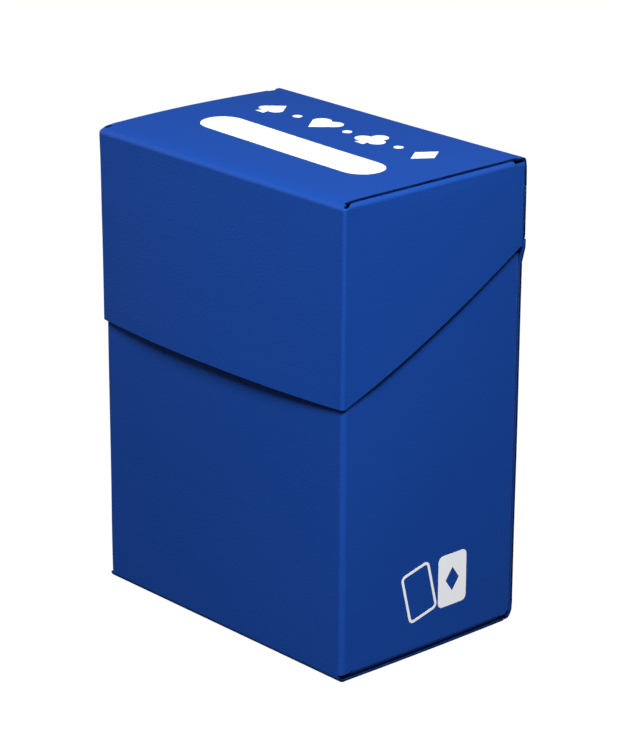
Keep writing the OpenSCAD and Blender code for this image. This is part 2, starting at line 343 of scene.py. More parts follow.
def sheet_material(name, deep, bright, roughness):
    """Embossed polypropylene: its colour drifts between deep and bright, creases go pale, and cut edges are
    painted dark as shade.
    """
    made = bpy.data.materials.new(name)
    made.use_nodes = True
    tree = made.node_tree
    shader = tree.nodes["Principled BSDF"]
    grain = tree.nodes.new("ShaderNodeGroup")
    grain.node_tree = sheet_grain
    wear_and_shade_node = tree.nodes.new("ShaderNodeGroup")
    wear_and_shade_node.node_tree = sheet_wear_and_edge_shade
    wear_and_shade_node.inputs["Crease"].default_value = crease_wear
    wear_and_shade_node.inputs["Edge shade amount"].default_value = edge_shade_strength
    blues = tree.nodes.new("ShaderNodeMix")
    blues.data_type = "RGBA"
    blues.inputs["A"].default_value = (*deep, 1)
    blues.inputs["B"].default_value = (*bright, 1)
    tree.links.new(grain.outputs["Tone"], blues.inputs["Factor"])
    blend = blues
    # The second mix paints shade on the cut edges and darkens them near black.
    for mask, tint in (("Pale", pale_blue), ("Edge shade", edge_shade_blue)):
        over = tree.nodes.new("ShaderNodeMix")
        over.data_type = "RGBA"
        over.inputs["B"].default_value = (*tint, 1)
        tree.links.new(wear_and_shade_node.outputs[mask], over.inputs["Factor"])
        tree.links.new(blend.outputs["Result"], over.inputs["A"])
        blend = over
    tree.links.new(blend.outputs["Result"], shader.inputs["Base Color"])
    rub = maths(tree, "MULTIPLY_ADD", grain.outputs["Rub"], 0.12, roughness - 0.06)
    tree.links.new(maths(tree, "MULTIPLY_ADD", wear_and_shade_node.outputs["Pale"], -0.1, rub), shader.inputs["Roughness"])
    shader.inputs["Specular IOR Level"].default_value = gloss
    shader.inputs["Specular Tint"].default_value = gloss_tint
    bump = tree.nodes.new("ShaderNodeBump")
    bump.inputs["Strength"].default_value = emboss_strength
    bump.inputs["Distance"].default_value = emboss_depth
    tree.links.new(grain.outputs["Height"], bump.inputs["Height"])
    tree.links.new(bump.outputs["Normal"], shader.inputs["Normal"])
    return made


royal_blue = sheet_material(
    "royal_blue_sheet", deep=(0.0060, 0.0440, 0.245), bright=(0.0084, 0.0525, 0.285), roughness=0.5,
)


def finish_piece(piece, body, nodes, material):
    """Gives the piece its material, attaches it to the body that carries it and hides the CAD nodes it stands
    for.
    """
    piece.data.materials.append(material)
    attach(piece, body)
    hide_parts(*nodes)
    return piece


def body_fold(u, v, d):
    return body_bow(Vector((u, *body_wrap(-v, d))))


base_start = quarter + run_on
base_end = quarter + back_y - front_y - 2 * crease_r - run_on
base_half = base_high.x
rear_nip, nip_length = 0.35, 0.9
base_outline = rounded([
    (rear_nip - base_half, -base_end), (base_half - rear_nip, -base_end), (base_half, nip_length - base_end, 0.3),
    (base_half, -base_start), (-base_half, -base_start), (-base_half, nip_length - base_end, 0.3),
])
finish_piece(
    cut_panel(
        "base_panel_sheet", base_outline, body_fold, sheet,
        steps(-33, 33, 4), steps(-base_end + 2, -base_start - 2, 4),
        joins=[(1, -base_end), (1, -base_start)], edge=0.24,
    ),
    "box_body", ["base_panel"], royal_blue,
)

# --------------------------------------------------------------- front panel
# The wrap's front panel, with the two upright creases that turn the side
# panels back and the bottom crease. Small notches at the lower corners let the
# creases meet, and the bottom crease runs on nearly to the box's full width.
front_half = side_x - crease_r
front_seam = front_half + quarter + run_on
front_rim = front_high.z - crease_r
corner_notch = 0.3


def front_fold(u, v, d):
    s = abs(u) - front_half
    if s <= 0 or v < corner_notch:
        return body_fold(u, v, d)
    along, inward = crease(s, d, crease_r)
    return body_bow(Vector((math.copysign(front_half + along, u), front_y + inward, crease_r + v)))


def ridge(s, length):
    """How creased the sheet is at s along a crease of that length: 1 on its ridge."""
    return math.exp(-((s / length - 0.5) / 0.28) ** 2)


def front_creased(u, v):
    upright = ridge(abs(u) - front_half, quarter) if v > corner_notch else 0
    return max(upright, ridge(-v, quarter))


def both_sides(right):
    """Outline whose left half mirrors the right; right runs from the lower middle up to the upper middle."""
    return right + [(-c[0], *c[1:]) for c in reversed(right)]


def front_corner(reach, r):
    """Right edge of the panel, from the bottom crease to the rim.
    The crease ends at reach, in a corner of radius r."""
    return [
        (reach, -base_start), (reach, 0.02, r), (front_half - 0.2, corner_notch, 0.12),
        (front_seam, 0.55), (front_seam, front_rim),
    ]


right_corner, left_corner = front_corner(side_x - 0.55, 0.15), front_corner(side_x - 0.1, 0.45)
front_outline = rounded(right_corner + [(-c[0], *c[1:]) for c in reversed(left_corner)])
crease_lines = steps(0, quarter, quarter / 10)
upright_lines = [side * (front_half + s) for side in (-1, 1) for s in crease_lines + [-0.4]]
finish_piece(
    cut_panel(
        "front_panel_sheet", front_outline, front_fold, sheet,
        steps(-30, 30, 4) + upright_lines, [-s for s in crease_lines] + steps(3, front_rim - 3, 4),
        joins=[(1, -base_start), (0, front_seam), (0, -front_seam)], creased=front_creased,
    ),
    "box_body", ["front_panel"], royal_blue,
)

# --------------------------------------------------------------- side panels
# Folded back from the front panel's upright creases. Each carries two tabs,
# one turned in behind the back panel and one turned in over the base. Beside
# the tabs the edges are plain cuts.
side_high = mm_box("right_side_panel")[1]
rear_tab_low, rear_tab_high = mm_box("right_rear_tab")
base_tab_low, base_tab_high = mm_box("right_base_tab")
tab_r = rear_tab_high.y - rear_tab_low.y
tab_start = rear_tab_high.y - tab_r
side_foot = base_tab_high.z
side_front = front_y + crease_r + run_on
rear_rim = side_high.z
plain_foot = crease_r + 0.55
rear_foot = crease_r + 0.4
tab_flare = 1.2


def handed(side, fold, bow):
    """The same fold on the right (1) or, mirrored, on the left (-1)."""
    def place_it(u, v, d):
        p = Vector(fold(u, v, d)) if side > 0 else Vector(fold(-u, v, d))
        p.x *= side
        return bow(p)
    return place_it


def on_hand(side, outline):
    """The outline for the right hand (1), or its mirror image for the left (-1)."""
    return outline if side > 0 else [Vector((-p[0], p[1])) for p in reversed(outline)]


def side_fold(y, z, d):
    return side_x - d, y, z


side_outline = rounded([
    (side_front, plain_foot), (base_tab_low.y - 0.5, plain_foot, 0.2), (base_tab_low.y, side_foot),
    (base_tab_high.y, side_foot), (base_tab_high.y + 0.12, rear_foot, 0.04),
    (tab_start - 0.2, rear_foot, 0.1), (tab_start, rear_tab_low.z - tab_flare), (tab_start, rear_tab_high.z),
    (tab_start - 0.3, rear_rim, 0.2), (side_front, crease_r + front_rim),
])
for side, hand in ((1, "right"), (-1, "left")):
    finish_piece(
        cut_panel(
            f"{hand}_side_panel_sheet", on_hand(side, side_outline), handed(side, side_fold, body_bow), sheet,
            [side * y for y in steps(side_front + 2, tab_start - 2, 4)], steps(5, rear_rim - 4, 4),
            joins=[(0, side * side_front), (0, side * tab_start), (1, side_foot)],
        ),
        "box_body", [f"{hand}_side_panel"], royal_blue,
    )

# ---------------------------------------------------------------- back panel
# The wrap's last body panel, behind the tabs. It widens just below the hinge
# to the lid's width, and its side edges are plain cuts.
flare_x = back_high.x - 0.05
flare_height = 4
back_start = quarter + back_y - front_y - 2 * crease_r


def back_of(z):
    """Distance along the body's strip to that height on the back."""
    return -(back_start + quarter + z - crease_r)


back_outline = rounded(both_sides([
    (flare_x, back_of(back_high.z)), (flare_x, back_of(back_high.z - 0.6), 0.3),
    (base_half, back_of(back_high.z - flare_height), 3), (base_half, back_of(crease_r + 0.7), 0.4),
    (base_half - rear_nip, back_of(crease_r - 0.4), 0.3), (base_half - rear_nip, -base_end),
]))
finish_piece(
    cut_panel(
        "back_panel_sheet", back_outline, body_fold, sheet,
        steps(-33, 33, 4), [-(back_start + s) for s in crease_lines] + [back_of(z) for z in steps(4, 74, 4)],
        joins=[(1, -base_end), (0, base_half), (0, -base_half)],
        creased=lambda u, v: ridge(-v - back_start, quarter),
    ),
    "box_body", ["back_panel"], royal_blue,
)

# ----------------------------------------------------------------- body tabs
# Glue tabs of the same sheet. The rear pair turn in from the side panels and
# lie flat behind the back panel; the lower pair lie flat on the base. Their
# free corners are cut back and rounded.
tab_quarter = tab_r * math.pi / 2
tab_lines = steps(0, tab_quarter, tab_quarter / 8)
rear_reach = tab_quarter + (side_x - tab_r - rear_tab_low.x)
base_reach = tab_quarter + (side_x - tab_r - base_tab_low.x)
tab_cut_back = 4


def rear_tab_fold(s, z, d):
    along, inward = crease(s, d, tab_r)
    return side_x - inward, tab_start + along, z


def base_tab_fold(y, v, d):
    down, inward = crease(-v, d, tab_r)
    return side_x - inward, y, side_foot - down


rear_tab_outline = rounded([
    (0, rear_tab_low.z - tab_flare), (tab_quarter - 0.3, rear_tab_low.z),
    (rear_reach, rear_tab_low.z + tab_cut_back, 2), (rear_reach, rear_tab_high.z - tab_cut_back, 2),
    (tab_quarter - 0.3, rear_tab_high.z), (0, rear_tab_high.z),
])
base_tab_outline = rounded([
    (base_tab_low.y, 0), (base_tab_low.y, 0.3 - tab_quarter), (base_tab_low.y + tab_cut_back, -base_reach, 2),
    (base_tab_high.y - tab_cut_back, -base_reach, 2), (base_tab_high.y, 0.3 - tab_quarter), (base_tab_high.y, 0),
])
for side, hand in ((1, "right"), (-1, "left")):
    finish_piece(
        cut_panel(
            f"{hand}_rear_tab_sheet", on_hand(side, rear_tab_outline),
            handed(side, rear_tab_fold, body_bow), sheet,
            [side * s for s in tab_lines], steps(rear_tab_low.z + 4, rear_tab_high.z - 4, 4),
            joins=[(0, 0)], creased=lambda u, v: ridge(abs(u), tab_quarter),
        ),
        "box_body", [f"{hand}_rear_tab"], royal_blue,
    )
    finish_piece(
        cut_panel(
            f"{hand}_base_tab_sheet", on_hand(side, base_tab_outline),
            handed(side, base_tab_fold, body_bow), sheet,
            [side * y for y in steps(base_tab_low.y + 4, base_tab_high.y - 4, 4)], [-s for s in tab_lines],
            joins=[(1, 0)], creased=lambda u, v: ridge(-v, tab_quarter),
        ),
        "box_body", [f"{hand}_base_tab"], royal_blue,
    )

# ------------------------------------------------------------- body adhesive
# Beads of hot glue pressed flat between the tabs and the panels they close
# on: a cloudy film with a wavering edge.


def bead(u0, u1, v0, v1, seed, wander=0.35):
    """Outline of a pressed glue bead that fills a strip, its long edges wandering."""
    outline = []
    across = u1 - u0 < v1 - v0
    low, high = (v0, v1) if across else (u0, u1)
    for t in steps(low, high, 2):
        w = noise.noise(Vector((t * 0.3, seed, 0))) * wander
        outline.append((u1 - abs(w), t) if across else (t, v0 + abs(w)))
    for t in reversed(steps(low, high, 2)):
        w = noise.noise(Vector((t * 0.3, seed, 5))) * wander
        outline.append((u0 + abs(w), t) if across else (t, v1 - abs(w)))
    return outline


def joined(name, parts):
    """Several like pieces as one object."""
    with bpy.context.temp_override(active_object=parts[0], selected_editable_objects=parts):
        bpy.ops.object.join()
    parts[0].name = name
    return parts[0]


cloudy_glue = bpy.data.materials.new("cloudy_glue")
cloudy_glue.use_nodes = True
glue_tree = cloudy_glue.node_tree
glue_shader = glue_tree.nodes["Principled BSDF"]
glue_place = glue_tree.nodes.new("ShaderNodeTexCoord").outputs["Object"]
glue_mix = glue_tree.nodes.new("ShaderNodeMix")
glue_mix.data_type = "RGBA"
glue_mix.inputs["A"].default_value = (0.62, 0.60, 0.50, 1)
glue_mix.inputs["B"].default_value = (0.80, 0.79, 0.72, 1)
glue_tree.links.new(speckle(glue_tree, glue_place, 700.0, 3), glue_mix.inputs["Factor"])
glue_tree.links.new(glue_mix.outputs["Result"], glue_shader.inputs["Base Color"])
glue_rough = maths(glue_tree, "MULTIPLY_ADD", speckle(glue_tree, glue_place, 1500.0, 2), 0.3, 0.25)
glue_tree.links.new(glue_rough, glue_shader.inputs["Roughness"])

rear_glue_low, rear_glue_high = mm_box("rear_tab_adhesive")
base_glue_low, base_glue_high = mm_box("base_tab_adhesive")
glue = rear_glue_high.y - rear_glue_low.y
glue_margin = 1.5
glue_from = rear_tab_low.x + glue_margin
glue_width = side_x - tab_r - glue_margin - glue_from
glue_edge = 0.03
rear_beads, base_beads = [], []
for side in (1, -1):
    rear_beads.append(cut_panel(
        "rear_bead",
        on_hand(side, bead(-glue_from - glue_width, -glue_from, rear_glue_low.z, rear_glue_high.z, 1 + side)),
        handed(side, lambda u, v, d: (-u, back_y - sheet - d, v), body_bow), glue,
        v_lines=steps(rear_glue_low.z + 3, rear_glue_high.z - 3, 4), edge=glue_edge,
    ))
    base_beads.append(cut_panel(
        "base_bead",
        on_hand(side, bead(glue_from, glue_from + glue_width, base_glue_low.y, base_glue_high.y, 4 + side)),
        handed(side, lambda u, v, d: (u, v, sheet + glue - d), body_bow), glue,
        v_lines=steps(base_glue_low.y + 3, base_glue_high.y - 3, 4), edge=glue_edge,
    ))
finish_piece(joined("rear_tab_glue", rear_beads), "box_body", ["rear_tab_adhesive"], cloudy_glue)
finish_piece(joined("base_tab_glue", base_beads), "box_body", ["base_tab_adhesive"], cloudy_glue)

# ----------------------------------------------------------------- lid back
# First panel of the lid, above the hinge, with the rear top crease. The lid's
# three wrap panels share one strip: front flap, top and back.
flap_low, flap_high = mm_box("lid_front_flap")
top_high = mm_box("lid_top_panel")[1]
lid_back_low, lid_back_high = mm_box("lid_back_panel")
lid_x, lid_front_y = flap_high.x, flap_low.y
fold_r = 0.75
fold_quarter = fold_r * math.pi / 2
fold_lines = steps(0, fold_quarter, fold_quarter / 8)
lid_half = lid_x - fold_r
crown = top_high.z - flap_high.z
top_reach = back_y - fold_r
crown_h = (top_reach ** 2 + crown ** 2) / (2 * crown)
crown_r = crown_h + fold_r
crown_z = top_high.z - crown_r
crown_angle = math.asin(top_reach / crown_h)
crease_z = top_high.z - crown - fold_r
lid_quarter = fold_r * (math.pi / 2 - crown_angle)
top_run = crown_r * 2 * crown_angle
hinge_low, hinge_high = mm_box("hinge_web")
hinge_z = (hinge_low.z + hinge_high.z) / 2


def lid_wrap(s, d):
    """(y, z) of the lid's strip: up the front flap, over the crowned top and down the back.
    s = 0 at the front crease."""
    if s < lid_quarter:
        up, inward = crease(s, d, fold_r)
        return lid_front_y + inward, crease_z + up
    if s < lid_quarter + top_run:
        turn = (s - lid_quarter) / crown_r - crown_angle
        return (crown_r - d) * math.sin(turn), crown_z + (crown_r - d) * math.cos(turn)
    s -= lid_quarter + top_run
    if s < lid_quarter:
        turn = crown_angle + s / fold_r
        return back_y - fold_r + (fold_r - d) * math.sin(turn), crease_z + (fold_r - d) * math.cos(turn)
    return back_y - d, crease_z - (s - lid_quarter)


flap_swell, flap_pinch = 1.3, 0.3
lid_side_swell, lid_side_pinch, lid_tuck = 0.5, 0.34, 0.3
lid_front_set, lid_back_swell = 0.12, 0.15
edge_sag, top_twist = 0.42, 0.3


def lid_bow(p):
    """The lid's flaps bow out between creases that draw in towards the free edges.
    The top is slightly twisted, and its front edge rounds down."""
    x = p.x / lid_x
    y = p.y / back_y
    drop = min(1, max(0, (top_high.z - 1.5 - p.z) / 40))
    near_top = min(1, max(0, (p.z - 82) / 11))
    front = min(1, max(0, (-p.y - 15) / 8))
    up_back = min(1, max(0, (p.z - hinge_z) / 16))
    out = p + unevenness(p)
    out.y -= flap_swell * front * drop ** 1.3 * (1 - abs(x) ** 2.4)
    out.y += (lid_front_set + flap_pinch * drop) * front
    out.x += (lid_side_swell * x * (1 - y * y) - lid_side_pinch * x * front) * drop ** 0.7 - lid_tuck * x
    out.y += lid_back_swell * max(0, y) ** 4 * (1 - x * x) * math.sin(math.pi * up_back)
    rounded_off = math.exp(-(p.y - lid_front_y - fold_r) / 1.6)
    left_sag = 0.04 * (1 + y) - 0.06 * (1 - y) * (1 - rounded_off)
    out.z -= near_top * (edge_sag * rounded_off + top_twist * (1 + x) * (1 - y * y) + (1 - x) * left_sag)
    return out


def lid_fold(u, v, d):
    return lid_bow(Vector((u, *lid_wrap(v, d))))


rear_crease = lid_quarter + top_run
rear_start = rear_crease - run_on
lid_back_end = rear_crease + lid_quarter + crease_z - lid_back_low.z
rear_corner = lid_back_high.x - 0.4
shoulder = rear_crease + lid_quarter + 1.2
lid_back_outline = rounded([
    (-rear_corner, rear_start), (rear_corner, rear_start), (lid_back_high.x, shoulder, 0.8),
    (lid_back_high.x, lid_back_end, 0.25), (-lid_back_high.x, lid_back_end, 0.25),
    (-lid_back_high.x, shoulder, 0.8),
])
finish_piece(
    cut_panel(
        "lid_back_panel_sheet", lid_back_outline, lid_fold, sheet,
        steps(-33, 33, 4), [rear_crease + s for s in fold_lines] + steps(rear_crease + 3, lid_back_end - 2, 3),
        joins=[(1, rear_start), (0, lid_back_high.x), (0, -lid_back_high.x)],
        creased=lambda u, v: ridge(v - rear_crease, lid_quarter),
    ),
    "lid", ["lid_back_panel"], royal_blue,
)

# ------------------------------------------------------------------- lid top
# The crowned top panel. Its side edges are plain cuts that stop short of the
# side flaps' folds, with a small step beside each end of the rear crease.
top_start = lid_quarter + run_on
top_x = top_high.x - 0.1


def top_at(y):
    """Distance along the lid's strip to that depth on the top."""
    return lid_quarter + crown_r * (math.asin(y / crown_r) + crown_angle)


step_from, step_to = top_at(back_y - 2.1), top_at(back_y - 1.8)
top_outline = rounded([
    (-lid_half, top_start), (lid_half, top_start), (top_x + 0.2, top_start + 0.05, 0.2),
    (top_x, top_start + 0.5, 0.2), (top_x, step_from, 0.15), (rear_corner, step_to, 0.15),
    (rear_corner, rear_start), (-rear_corner, rear_start), (-rear_corner, step_to, 0.15),
    (-top_x, step_from, 0.15), (-top_x, top_start + 0.5, 0.2), (-top_x - 0.2, top_start + 0.05, 0.2),
])
finish_piece(
    cut_panel(
        "lid_top_panel_sheet", top_outline, lid_fold, sheet,
        steps(-33, 33, 3), steps(top_start + 2, rear_start - 2, 2),
        joins=[(1, top_start), (1, rear_start)],
    ),
    "lid", ["lid_top_panel"], royal_blue,
)

# ------------------------------------------------------------ lid front flap
# The deep front flap, with its two upright creases and the front top crease.
# The creases run together into a rounded corner with a punched relief hole.
# The lower edge is a shallow cut arc, and the free edge bows out.
flap_seam = lid_half + fold_quarter + run_on
flap_foot = 55.65
flap_edge = flap_foot - crease_z
flap_dip = flap_foot - flap_low.z
relief = 0.5


def flap_fold(u, v, d):
    s = abs(u) - lid_half
    if s <= 0:
        return lid_fold(u, v, d)
    if v <= 0:
        along, inward = crease(s, d, fold_r)
        return lid_bow(Vector((math.copysign(lid_half + along, u), lid_front_y + inward, crease_z + v)))
    turn, rise = min(s, fold_quarter) / fold_r, v / fold_r
    reach = fold_r - d
    return lid_bow(Vector((
        math.copysign(lid_half + reach * math.sin(turn) * math.cos(rise), u),
        lid_front_y + fold_r - reach * math.cos(turn) * math.cos(rise) + max(0, s - fold_quarter),
        crease_z + reach * math.sin(rise),
    )))


def flap_creased(u, v):
    return max(ridge(abs(u) - lid_half, fold_quarter), ridge(v, lid_quarter))


flap_right = [(u, flap_edge - flap_dip * (1 - (u / lid_half) ** 2)) for u in steps(2, lid_half, 2)]
flap_right += [(lid_half + fold_quarter / 2, flap_edge), (flap_seam, flap_edge + 0.1), (flap_seam, relief)]
flap_right += [
    (lid_half + fold_quarter * (1 - math.sin(t)), lid_quarter - (lid_quarter - relief) * math.cos(t))
    for t in steps(0, math.pi / 2, math.pi / 20)[:-1]
]
flap_right += [(lid_half, top_start)]
flap_outline = [Vector(p) for p in both_sides(flap_right)]
flap_lines = [side * (lid_half + s) for side in (-1, 1) for s in fold_lines]
finish_piece(
    cut_panel(
        "lid_front_flap_sheet", flap_outline, flap_fold, sheet,
        steps(-33, 33, 3) + flap_lines, steps(flap_edge + 2, -2, 3) + steps(0, lid_quarter, lid_quarter / 10),
        joins=[(1, top_start), (0, flap_seam), (0, -flap_seam)], creased=flap_creased,
    ),
    "lid", ["lid_front_flap"], royal_blue,
)

# ------------------------------------------------------ lid side flaps, tabs
# Folded back from the front flap's upright creases, each with a slanting lower
# edge. The tab at the top rolls over beside the top panel's edge and is glued
# beneath it; the roll starts at the relief hole and settles to full size.
lid_side_high = mm_box("lid_right_flap")[1]
lid_tab_low, lid_tab_high = mm_box("lid_right_tab")
flap_front = lid_front_y + fold_r + run_on
flap_rear = lid_side_high.y - 0.6
roll_r, roll_drop, roll_settles = 0.95, 0.18, 5
tab_sink = sheet + glue - roll_drop
slit_dip, slit_width = 0.5, 0.6
lid_tab_from, lid_tab_to = flap_front, lid_tab_high.y - 1.2
lid_reach = roll_r * math.pi / 2 + (lid_x - roll_r - lid_tab_low.x)


def smooth(t):
    t = min(1, max(0, t))
    return t * t * (3 - 2 * t)


def roll_at(y):
    """Height where the roll starts, and its radius, at that depth of the box."""
    settled = smooth((y - flap_front) / roll_settles)
    level = crown_z + math.sqrt(crown_r ** 2 - y * y) - roll_drop
    r = fold_r + (roll_r - fold_r) * settled
    return crease_z + (level - r - crease_z) * settled, r


def lid_side_fold(y, s, d):
    start, r = roll_at(y)
    up, inward = crease(s, d, r)
    past = inward - d - r
    dip = slit_dip * math.exp(-((past - 1.0) / slit_width) ** 2)
    return lid_x - inward, y, start + up - tab_sink * smooth(past / 0.8) - dip


slant_from = Vector((flap_front, flap_foot + 0.2))
slant_to = Vector((flap_rear, hinge_z - 0.35))
slant_dip = 0.85
slant = []
for t in steps(0, 1, 0.05):
    p = slant_from.lerp(slant_to, t)
    slant.append((p.x, p.y - slant_dip * 4 * t * (1 - t) * (0.8 + 0.4 * t) - roll_at(p.x)[0]))
rear_top = 0.6
lid_side_outline = [Vector(p) for p in slant + [
    (flap_rear, rear_top), (lid_tab_to + 0.1, rear_top), (lid_tab_to, 0), (flap_front, 0),
]]
lid_tab_outline = rounded([
    (lid_tab_from, 0), (lid_tab_to, 0), (lid_tab_to, 1.6), (lid_tab_to - 4, lid_reach, 2),
    (lid_tab_from + 9, lid_reach, 2), (lid_tab_from + 4.5, 2.4, 1.5), (lid_tab_from + 1.2, relief + 0.9, 1.2),
    (lid_tab_from, relief),
])
for side, hand in ((1, "right"), (-1, "left")):
    finish_piece(
        cut_panel(
            f"lid_{hand}_flap_sheet", on_hand(side, lid_side_outline),
            handed(side, lid_side_fold, lid_bow), sheet,
            [side * y for y in steps(flap_front + 1, flap_rear - 1, 2)], steps(-36, -3, 3) + [-0.4, 0.2],
            joins=[(0, side * flap_front), (1, 0)],
        ),
        "lid", [f"lid_{hand}_flap"], royal_blue,
    )
    finish_piece(
        cut_panel(
            f"lid_{hand}_tab_sheet", on_hand(side, lid_tab_outline),
            handed(side, lid_side_fold, lid_bow), sheet,
            [side * y for y in steps(flap_front + 1, flap_rear - 1, 2)], steps(0, 3.2, 0.2),
            joins=[(0, side * flap_front), (1, 0)], creased=lambda u, v: 0.5 * ridge(v, roll_r * math.pi / 2),
        ),
        "lid", [f"lid_{hand}_tab"], royal_blue,
    )

# -------------------------------------------------------------- lid adhesive
# The same hot glue, one bead a side, pressed flat between each lid tab and the
# underside of the top panel.
lid_glue_low, lid_glue_high = mm_box("lid_tab_adhesive")
lid_bead_x = lid_tab_low.x + 2
lid_beads = []
for side in (1, -1):
    lid_beads.append(cut_panel(
        "lid_bead",
        on_hand(side, bead(lid_bead_x, lid_bead_x + glue_width, lid_glue_low.y, lid_glue_high.y, 8 + side)),
        handed(side, lambda u, v, d: (u, *lid_wrap(top_at(v), sheet + d)), lid_bow), glue,
        v_lines=steps(lid_glue_low.y + 3, lid_glue_high.y - 3, 3), edge=glue_edge,
    ))
finish_piece(joined("lid_tab_glue", lid_beads), "lid", ["lid_tab_adhesive"], cloudy_glue)

# -------------------------------------------------------------- living hinge
# The sheet pressed thin along one line, left at the outer face. It joins the
# back panel to the lid; on the box it bends as the lid turns, but here it is built straight, as when the lid is
# shut.
web = hinge_high.y - hinge_low.y
hinge_lap, hinge_inset = 0.12, 0.02
hinge_outline = [
    (-hinge_high.x, -(hinge_high.z + hinge_lap)), (hinge_high.x, -(hinge_high.z + hinge_lap)),
    (hinge_high.x, -(hinge_low.z - hinge_lap)), (-hinge_high.x, -(hinge_low.z - hinge_lap)),
]
hinge = cut_panel(
    "hinge_web_sheet", hinge_outline, lambda u, v, d: body_bow(Vector((u, back_y - hinge_inset - d, -v))), web,
    steps(-33, 33, 4), [-z for z in steps(hinge_low.z, hinge_high.z, 0.1)],
    creased=lambda u, v: ridge(-v - hinge_low.z, hinge_high.z - hinge_low.z),
)
hinge.data.materials.append(royal_blue)
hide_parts("hinge_web")
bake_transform(hinge)

# ---------------------------------------------------------------- white print
# Opaque white ink, screen-printed before folding: a write-on strip with round
# ends and a row of card suits on the top, and two playing cards on one side.
ink, ink_edge = 0.04, 0.02
white_ink = bpy.data.materials.new("white_ink")
white_ink.use_nodes = True
ink_tree = white_ink.node_tree
ink_shader = ink_tree.nodes["Principled BSDF"]
ink_grain = ink_tree.nodes.new("ShaderNodeGroup")
ink_grain.node_tree = sheet_grain
ink_grain.inputs["Depth"].default_value = 0.8
ink_mix = ink_tree.nodes.new("ShaderNodeMix")
ink_mix.data_type = "RGBA"
ink_mix.inputs["A"].default_value = (0.84, 0.86, 0.89, 1)
ink_mix.inputs["B"].default_value = (0.90, 0.91, 0.93, 1)
ink_tree.links.new(ink_grain.outputs["Tone"], ink_mix.inputs["Factor"])
ink_tree.links.new(ink_mix.outputs["Result"], ink_shader.inputs["Base Color"])
ink_rough = maths(ink_tree, "MULTIPLY_ADD", ink_grain.outputs["Rub"], 0.15, 0.4)
ink_tree.links.new(ink_rough, ink_shader.inputs["Roughness"])
ink_bump = ink_tree.nodes.new("ShaderNodeBump")
ink_bump.inputs["Strength"].default_value = 0.25
ink_bump.inputs["Distance"].default_value = 0.00004
ink_tree.links.new(ink_grain.outputs["Height"], ink_bump.inputs["Height"])
ink_tree.links.new(ink_bump.outputs["Normal"], ink_shader.inputs["Normal"])


def printed_on_top(at, size=1):
    def place_it(u, v, d):
        return lid_fold(at[0] + u * size, top_at(at[1] + v * size), d - ink)
    return place_it


strip_low, strip_high = mm_box("name_strip")
strip_mid = (strip_low + strip_high) / 2
strip_half, strip_r = (strip_high.x - strip_low.x) / 2, (strip_high.y - strip_low.y) / 2
strip_end = strip_r * 0.999
strip_outline = rounded([
    (-strip_half, -strip_r, strip_end), (strip_half, -strip_r, strip_end),
    (strip_half, strip_r, strip_end), (-strip_half, strip_r, strip_end),
])
finish_piece(
    cut_panel(
        "name_strip_ink", strip_outline, printed_on_top((strip_mid.x, strip_mid.y)), ink,
        steps(-strip_half + 2, strip_half - 2, 2), steps(-strip_r + 1, strip_r - 1, 1), edge=ink_edge,
    ),
    "lid", ["name_strip"], white_ink,
)


def star_outline(centre, shapes, count=96):
    """Outline of overlapping circles (u, v, r) and polygons, seen from a centre inside them all."""
    outline = []
    for k in range(count):
        way = Vector((math.cos(2 * math.pi * k / count), math.sin(2 * math.pi * k / count)))
        far = 0
        for shape in shapes:
            if isinstance(shape, tuple):
                to = Vector(shape[:2]) - centre
                off = shape[2] ** 2 - (to.length_squared - to.dot(way) ** 2)
                if off > 0:
                    far = max(far, to.dot(way) + math.sqrt(off))
                continue
            for i, a in enumerate(shape):
                a, b = Vector(a), Vector(shape[(i + 1) % len(shape)])
                along = b - a
                turn = way.x * along.y - way.y * along.x
                if abs(turn) > 1e-9:
                    t = ((a - centre).x * along.y - (a - centre).y * along.x) / turn
                    w = ((a - centre).x * way.y - (a - centre).y * way.x) / turn
                    if 0 <= w <= 1:
                        far = max(far, t)
        outline.append(centre + way * far)
    return outline


# The four suits, one unit high: round lobes as (u, v, r), and straight-sided parts
stalk = [(-0.17, -0.5), (0.17, -0.5), (0.035, -0.08), (-0.035, -0.08)]
heart = [
    (0.235, 0.215, 0.265), (-0.235, 0.215, 0.265),
    [(-0.47, 0.09), (0, -0.5), (0.47, 0.09), (0.2, 0.3), (-0.2, 0.3)],
]
spade = [
    (0.19, -0.07, 0.212), (-0.19, -0.07, 0.212),
    [(0.376, 0.03), (0, 0.5), (-0.376, 0.03), (-0.16, -0.14), (0.16, -0.14)], stalk,
]
club = [
    (0, 0.26, 0.24), (0.25, -0.09, 0.24), (-0.25, -0.09, 0.24),
    [(-0.14, -0.12), (0.14, -0.12), (0, 0.2)], stalk,
]
diamond = [[(0, 0.5), (-0.36, 0), (0, -0.5), (0.36, 0)]]
marks_low, marks_high = mm_box("suit_marks")
mark_y = (marks_low.y + marks_high.y) / 2
mark_size = marks_high.y - marks_low.y
spade_half, diamond_half = 0.4, 0.36
mark_pitch = (marks_high.x - marks_low.x - (spade_half + diamond_half) * mark_size) / 3
mark_x = marks_low.x + spade_half * mark_size
dot = [(math.cos(a), math.sin(a)) for a in steps(0, 2 * math.pi, math.pi / 12)[:-1]]
pips = []
for i, (middle, suit) in enumerate(((-0.02, spade), (0.1, heart), (0, club), (0, diamond))):
    at = (mark_x + i * mark_pitch, mark_y)
    outline = star_outline(Vector((0, middle)), suit)
    pips.append(cut_panel("pip", outline, printed_on_top(at, mark_size), ink, edge=ink_edge / 10))
for i in range(3):
    at = (mark_x + (i + 0.5) * mark_pitch, mark_y)
    pips.append(cut_panel("dot", dot, printed_on_top(at), ink, edge=ink_edge))
finish_piece(joined("suit_marks_ink", pips), "lid", ["suit_marks"], white_ink)

card_low, card_high = mm_box("card_mark")


def card_half(w, h, r, hole):
    """Right half of a card's outline about its centre line, less a hole given from its upper to its lower end."""
    return rounded([(0, -h / 2), (w / 2, -h / 2, r), (w / 2, h / 2, r), (0, h / 2)] + hole)


